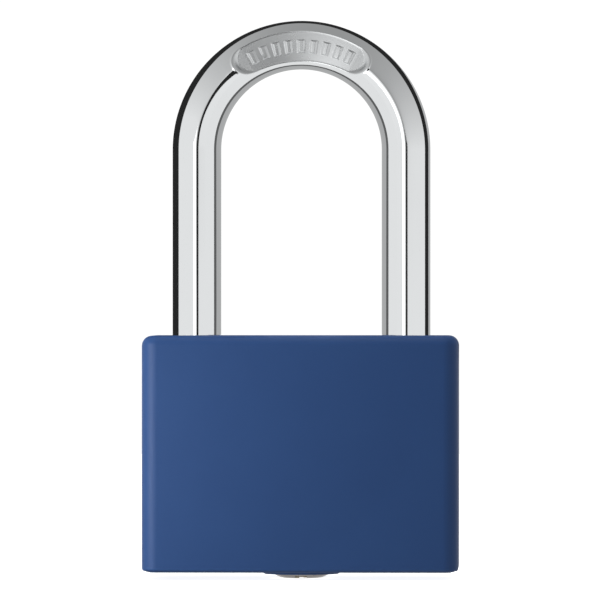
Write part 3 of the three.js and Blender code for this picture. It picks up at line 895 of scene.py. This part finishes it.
# %% Turn the plug
head_radius = plug_high.x
CORE_RADIUS = 3.9 * MM
HEAD_SEAT = 0.5 * MM  # how far the head stands up into the housing
WAIST_DEPTH = 0.7 * MM
CORE_EDGE = 0.1 * MM
clip_low, clip_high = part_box("plug_clip")
housing_low, housing_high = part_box("cylinder_housing")
head_top = housing_low.z + HEAD_SEAT
waist = CORE_RADIUS - WAIST_DEPTH
waist_low, waist_high = clip_low.z - FIT, clip_high.z + FIT
cam_low, cam_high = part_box("lock_cam")
core_top = cam_low.z - RUN
DOME_STEPS = 6
DOME_POWER = 1.7  # 1 would be a cone and 2 a parabola
DOME_EDGE = (0.1 * MM, 0.15 * MM)  # inwards and upwards, where the dome meets the head's side
TIP_RADIUS = 2.3 * MM
dome = []
for i in range(DOME_STEPS + 1):
    reach = TIP_RADIUS + (head_radius - DOME_EDGE[0] - TIP_RADIUS) * i / DOME_STEPS
    rise = (i / DOME_STEPS) ** DOME_POWER
    dome.append((reach, plug_low.z + (cover_low.z - plug_low.z) * rise))
plug = turn(
    dome
    + [(head_radius, dome[-1][1] + DOME_EDGE[1]), (head_radius, head_top), (CORE_RADIUS, head_top)]
    + [(CORE_RADIUS, waist_low), (waist, waist_low), (waist, waist_high), (CORE_RADIUS, waist_high)]
    + [(CORE_RADIUS, core_top - CORE_EDGE), (CORE_RADIUS - CORE_EDGE, core_top)],
    sides=96,
)
TANG_HALF = (2.5 * MM, 1.0 * MM)
SLOT_HEIGHT = 1.5 * MM  # of the cam's slot, which the tang nearly fills
tang_top = cam_low.z + SLOT_HEIGHT - RUN
tang = block((-TANG_HALF[0], -TANG_HALF[1], core_top - RUN), (TANG_HALF[0], TANG_HALF[1], tang_top))
combine(plug, tang, "UNION")

# %% Broach the keyway and drill the pin chambers
KEYWAY_HALF = 0.75 * MM
KEYWAY_TOP = 1.9 * MM
KEYWAY_BOTTOM = -3.2 * MM
WARD = 0.5 * MM  # how far each ward stands into the keyway
WARD_ROOT = 1.2 * KEYWAY_HALF  # a ward starts past the slot's side, so that no skin is left
third = (KEYWAY_TOP - KEYWAY_BOTTOM) / 3
keyway_ends = (plug_low.z - MM, housing_high.z - FIT)


def key_slot(x0, x1, y0, y1):
    return block((x0, y0, keyway_ends[0]), (x1, y1, keyway_ends[1]))


keyway = key_slot(-KEYWAY_HALF, KEYWAY_HALF, KEYWAY_BOTTOM, KEYWAY_TOP)
for side, start in ((-1, 1.0), (1, 2.0)):
    low = KEYWAY_BOTTOM + start * third
    x0, x1 = sorted((side * WARD_ROOT, side * (KEYWAY_HALF - WARD)))
    combine(keyway, key_slot(x0, x1, low, low + third / 2))
combine(plug, keyway)
pin_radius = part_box("key_pin_1")[1].x
chamber = pin_radius + 0.15 * MM
PINS = range(1, 6)
pin_heights = []
for number in PINS:
    low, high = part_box(f"key_pin_{number}")
    pin_heights.append((low.z + high.z) / 2)
for z in pin_heights:
    combine(plug, rod(chamber, -FIT, head_radius + MM, (0, 0, z), "Y", 32))
finish_piece(plug, "domed_plug", "cylinder_plug", "plug", nickel)

# %% Bare the brass inside the keyway and darken it as painted shade
# The keyway is broached after plating, so its walls are the bare brass that the plug is made
# of, dulled by the key. Their colour is also darker than the turned brass: painted shade
# inside the keyway.
plug.data.materials.append(keyway_brass_painted_shade)
bared = 0
for face in plug.data.polygons:
    inside = abs(face.center.x) < WARD_ROOT + NEAR
    inside = inside and KEYWAY_BOTTOM - NEAR < face.center.y < KEYWAY_TOP + NEAR
    if inside and abs(face.normal.z) < 0.1 and face.center.z < keyway_ends[1]:
        face.material_index = 1
        bared += 1
print("bare brass faces in the keyway:", bared)

# %% [markdown]
# ## The lock body
# The body is a length of extruded aluminium bar that is drilled and milled. It is made in the
# same order here: round the bar's edges, then take out each hole with a rod of its own size.
# Every hole is as large as the piece in it plus a running gap, so the frame's boxes give them.

# %% Drill the lock body
CHANNEL_FLOOR = 0.8 * MM  # aluminium between the ball channel and the heel ring's bore
PIN_BLOCK_HALF = 2.4 * MM  # half the width of the housing's block for the pins
CAM_CLEARANCE = 0.6 * MM
heel_plug_low, heel_plug_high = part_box("heel_bore_plug")
cross_low, cross_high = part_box("cross_pin")
cross_at = (cross_low + cross_high) / 2
cross_radius = (cross_high.x - cross_low.x) / 2
ring_bore = (heel_plug_high.x - heel_plug_low.x) / 2 + FIT
ring_stop = ball_z - ball_radius - RUN - CHANNEL_FLOOR


def along_x(radius, x0, x1, z, sides=64):
    return rod(radius, x0, x1, (0, 0, z), "X", sides)


def along_y(radius, y0, y1, x, z, sides=48):
    return rod(radius, y0, y1, (x, 0, z), "Y", sides)


BODY_CORNER = 0.9 * MM
BROKEN_EDGE = 0.2 * MM  # what a file takes off a sharp edge
body = block(body_low, body_high)
edit(body)
pick("EDGE", upright_edge)
bpy.ops.mesh.bevel(offset=BODY_CORNER, segments=6, profile=0.5, affect="EDGES")
pick("EDGE", level_edge)
bpy.ops.mesh.bevel(offset=BROKEN_EDGE, segments=2, profile=0.5, affect="EDGES")
only(body)
below, above = body_low.z - MM, body_high.z + MM
combine(body, rod(cam_high.y + CAM_CLEARANCE, below, cam_high.z + RUN, sides=96))
combine(body, rod(leg_radius + RUN, below, above, (-leg_x, 0, 0)))
combine(body, rod(ring_bore, below, ring_stop, (-leg_x, 0, 0)))
combine(body, rod(leg_radius + RUN, toe_end - 0.5 * MM, above, (leg_x, 0, 0)))
combine(body, along_x(ball_radius + RUN, -leg_x, body_high.x + MM, ball_z))
combine(body, along_y(cross_radius + FIT, body_low.y - MM, body_high.y + MM, cross_at.x, cross_at.z))


def housing_bar(gap, low, high):
    """The outline of the cylinder's housing: a round bar with a block for the pins."""
    bar = rod(housing_high.y + gap, low, high, sides=96)
    half = PIN_BLOCK_HALF + gap
    combine(bar, block((0, -half, low), (housing_high.x + gap, half, high)), "UNION")
    return bar


combine(body, housing_bar(FIT, below, housing_high.z + FIT))
finish_piece(body, "drilled_lock_body", "lock_body", "case", aluminium)

# %% [markdown]
# ## The cylinder's housing
# The housing is brass rod milled to a keyhole outline. It is bored for the plug, counterbored
# for the plug's head, cross-drilled for its pin, and drilled from the side for the pin stacks.

# %% Bore the housing
housing = housing_bar(0, housing_low.z, housing_high.z)
combine(housing, rod(CORE_RADIUS + RUN, housing_low.z - MM, housing_high.z + MM, sides=96))
combine(housing, rod(head_radius + RUN, housing_low.z - MM, head_top + FIT, sides=96))
combine(housing, along_y(cross_radius + FIT, body_low.y, body_high.y, cross_at.x, cross_at.z))
for z in pin_heights:
    combine(housing, along_x(chamber, 0, housing_high.x + MM, z, 32))
finish_piece(housing, "brass_cylinder_housing", "cylinder_housing", "case", brass)

# %% [markdown]
# ## The cam
# The cam turns with the plug's tang and pushes both balls out. Its radius grows by the same
# amount for every degree, so a circle's points are moved out to the radius for their angle.

# %% Shape the cam
CAM_SIDES = 160
cam_rise = cam_high.y - cam_high.x
bpy.ops.object.select_all(action="DESELECT")
bpy.ops.mesh.primitive_circle_add(
    vertices=CAM_SIDES, radius=cam_high.x, fill_type="NGON", location=(0, 0, cam_low.z)
)
cam = settle()
for vertex in cam.data.vertices:
    from_x = abs(math.atan2(vertex.co.y, abs(vertex.co.x)))
    grown = 1 + cam_rise / cam_high.x * from_x / (math.pi / 2)
    vertex.co.x *= grown
    vertex.co.y *= grown
edit(cam)
bpy.ops.mesh.extrude_region_move(TRANSFORM_OT_translate={"value": (0, 0, cam_high.z - cam_low.z)})
pick("EDGE", level_edge)
bpy.ops.mesh.bevel(offset=BROKEN_EDGE, segments=3, profile=0.5, affect="EDGES")
only(cam)
slot_x, slot_y = TANG_HALF[0] + RUN, TANG_HALF[1] + RUN
slot_box = block((-slot_x, -slot_y, cam_low.z - MM), (slot_x, slot_y, cam_low.z + SLOT_HEIGHT))
combine(cam, slot_box)
finish_piece(cam, "two_lobed_cam", "lock_cam", "plug", tool_steel)

# %% [markdown]
# ## The locking balls
# They are bearing balls. A cube that is divided finely and blown up to a sphere has
# even faces all over and no poles, so its highlight stays clean. One ball is copied for the other.

# %% Make the two balls
BALLS = ["toe_ball", "heel_ball"]
toe_middle = (toe_low + toe_high) / 2
first_ball = block(toe_low, toe_high)
edit(first_ball)
bpy.ops.mesh.subdivide(number_cuts=15)
bpy.ops.transform.tosphere(value=1.0, center_override=toe_middle)
only(first_ball)
for vertex in first_ball.data.vertices:
    vertex.co = toe_middle + ball_radius * (vertex.co - toe_middle).normalized()
for ball, node in zip(copy_for_nodes(first_ball, BALLS), BALLS):
    finish_piece(ball, f"hardened_{node}", node, node, ball_steel, smooth=60)

# %% [markdown]
# ## Turned plugs and pins
# The heel bore's plug, the channel's plug, the cross pin, the driver pins and the chambers'
# plugs are short turned rods with broken edges, so one helper makes them all from their boxes.
# The five chamber plugs are alike, so one is turned and copied. The pins differ in length.


# %% Turn the plugs
def turned_rod(node, axis, edge):
    """A rod with rounded ends that fills a node's box along one axis."""
    low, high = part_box(node)
    i = "XYZ".index(axis)
    middle = (low + high) / 2
    radius = (high[(i + 1) % 3] - low[(i + 1) % 3]) / 2
    middle[i] = 0
    return turn(rounded(radius, low[i], high[i], edge), middle, axis)


heel_plug = turned_rod("heel_bore_plug", "Z", BROKEN_EDGE)
finish_piece(heel_plug, "turned_heel_bore_plug", "heel_bore_plug", "case", aluminium)
channel_plug = turned_rod("channel_plug", "X", BROKEN_EDGE)
finish_piece(channel_plug, "turned_channel_plug", "channel_plug", "case", aluminium)
cross_pin = turned_rod("cross_pin", "Y", 0.12 * MM)
finish_piece(cross_pin, "ground_cross_pin", "cross_pin", "case", tool_steel)
CHAMBER_PLUGS = [f"chamber_plug_{number}" for number in PINS]
first_plug = turned_rod(CHAMBER_PLUGS[0], "X", 0.1 * MM)
for piece, node in zip(copy_for_nodes(first_plug, CHAMBER_PLUGS), CHAMBER_PLUGS):
    finish_piece(piece, f"brass_{node}", node, "case", brass)

# %% Turn the pins
KEY_PIN_TIP = 0.35 * MM
KEY_PIN_EDGE = 0.1 * MM
KEY_PIN_CROWN = 0.04 * MM  # how much the tip is rounded
point = pin_radius / 2
for number, z in zip(PINS, pin_heights):
    driver = f"driver_pin_{number}"
    finish_piece(turned_rod(driver, "X", BROKEN_EDGE), f"brass_{driver}", driver, driver, brass)
    key = f"key_pin_{number}"
    low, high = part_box(key)
    rings = [(KEY_PIN_TIP, low.y), (pin_radius - point, low.y + KEY_PIN_CROWN)]
    rings += [(pin_radius, low.y + point), (pin_radius, high.y - KEY_PIN_EDGE)]
    rings += [(pin_radius - KEY_PIN_EDGE, high.y)]
    finish_piece(turn(rings, (0, 0, z), "Y"), f"pointed_{key}", key, key, brass)

# %% [markdown]
# ## Split rings
# Both rings are stamped from spring strip, with a mouth to slip them into their grooves. A small
# cut of the strip is spun most of the way round, which leaves the mouth open by itself.

# %% Spin the rings
MOUTH = math.pi / 3
SLICE = 0.005 * MM  # how thick the cut of the strip is before it is spun
STRIP_EDGE = 0.08 * MM


def split_ring(name, node, body_name, inner, mouth_at, middle):
    low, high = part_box(node)
    outer = max(high.x - middle.x, high.y - middle.y)
    strip = block((inner, -SLICE, low.z), (outer, 0, high.z))
    edit(strip)
    pick("FACE", lambda at, way: way.y > 0.9)
    bpy.ops.mesh.spin(
        steps=60, angle=2 * math.pi - MOUTH, center=(0, 0, low.z), axis=(0, 0, -1), dupli=False
    )
    only(strip)
    strip.rotation_euler = (0, 0, mouth_at + MOUTH / 2)
    strip.location = (middle.x, middle.y, 0)
    settle()
    sharp = math.radians(60)
    modify(strip, "BEVEL", width=STRIP_EDGE, segments=2, limit_method="ANGLE", angle_limit=sharp)
    finish_piece(strip, name, node, body_name, spring_wire)


heel_middle = Vector((-leg_x, 0, 0))
split_ring("stamped_heel_ring", "heel_ring", "shackle", leg_radius - GROOVE_DEPTH + FIT, 0, heel_middle)
split_ring("stamped_plug_clip", "plug_clip", "plug", waist + FIT, -math.pi / 2, Vector((0, 0, 0)))

# %% [markdown]
# ## Springs
# A compression spring is wire wound on a bar, with one close turn at each end so that it stands
# straight. A curve is laid along the winding, thickened to the wire and made a mesh. Each pin
# spring fills the room that its own driver pin leaves, so they differ in length and each is
# wound by itself.


# %% Wind the springs
STEPS_PER_TURN = 28


def wind(node, wire, turns, axis):
    """Winds a spring that fills a node's box."""
    low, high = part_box(node)
    i = "XYZ".index(axis)
    length = high[i] - low[i]
    radius = (high.y - low.y) / 2 - wire / 2
    close = 1.2 * wire
    pitch = (length - wire - 2 * close) / (turns - 2)
    steps = STEPS_PER_TURN * turns
    curve = bpy.data.curves.new(node, "CURVE")
    curve.dimensions = "3D"
    curve.bevel_depth = wire / 2
    curve.bevel_resolution = 3
    curve.use_fill_caps = True
    line = curve.splines.new("POLY")
    line.points.add(steps)
    for n, point in enumerate(line.points):
        turned = turns * n / steps
        opened = min(max(turned - 1, 0), turns - 2)
        angle = 2 * math.pi * turned
        up = wire / 2 + opened * pitch + (turned - opened) * close
        point.co = (radius * math.cos(angle), radius * math.sin(angle), up, 1)
    piece = bpy.data.objects.new(node, curve)
    bpy.context.scene.collection.objects.link(piece)
    only(piece)
    bpy.ops.object.convert(target="MESH")
    piece = bpy.context.active_object
    piece.rotation_euler = TURNS[axis]
    middle = (low + high) / 2
    middle[i] = low[i]
    piece.location = middle
    return settle()


def seat(piece, node, axis):
    """Finishes a spring and bakes its place into its mesh."""
    finish_piece(piece, f"wound_{node}", node, None, spring_wire, smooth=60)
    low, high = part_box(node)
    i = "XYZ".index(axis)
    foot = (low + high) / 2
    head = foot.copy()
    foot[i] = low[i]
    head[i] = high[i]
    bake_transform(piece)


seat(wind("shackle_spring", 0.45 * MM, 12, "Z"), "shackle_spring", "Z")
for number in PINS:
    node = f"pin_spring_{number}"
    seat(wind(node, 0.3 * MM, 5, "X"), node, "X")
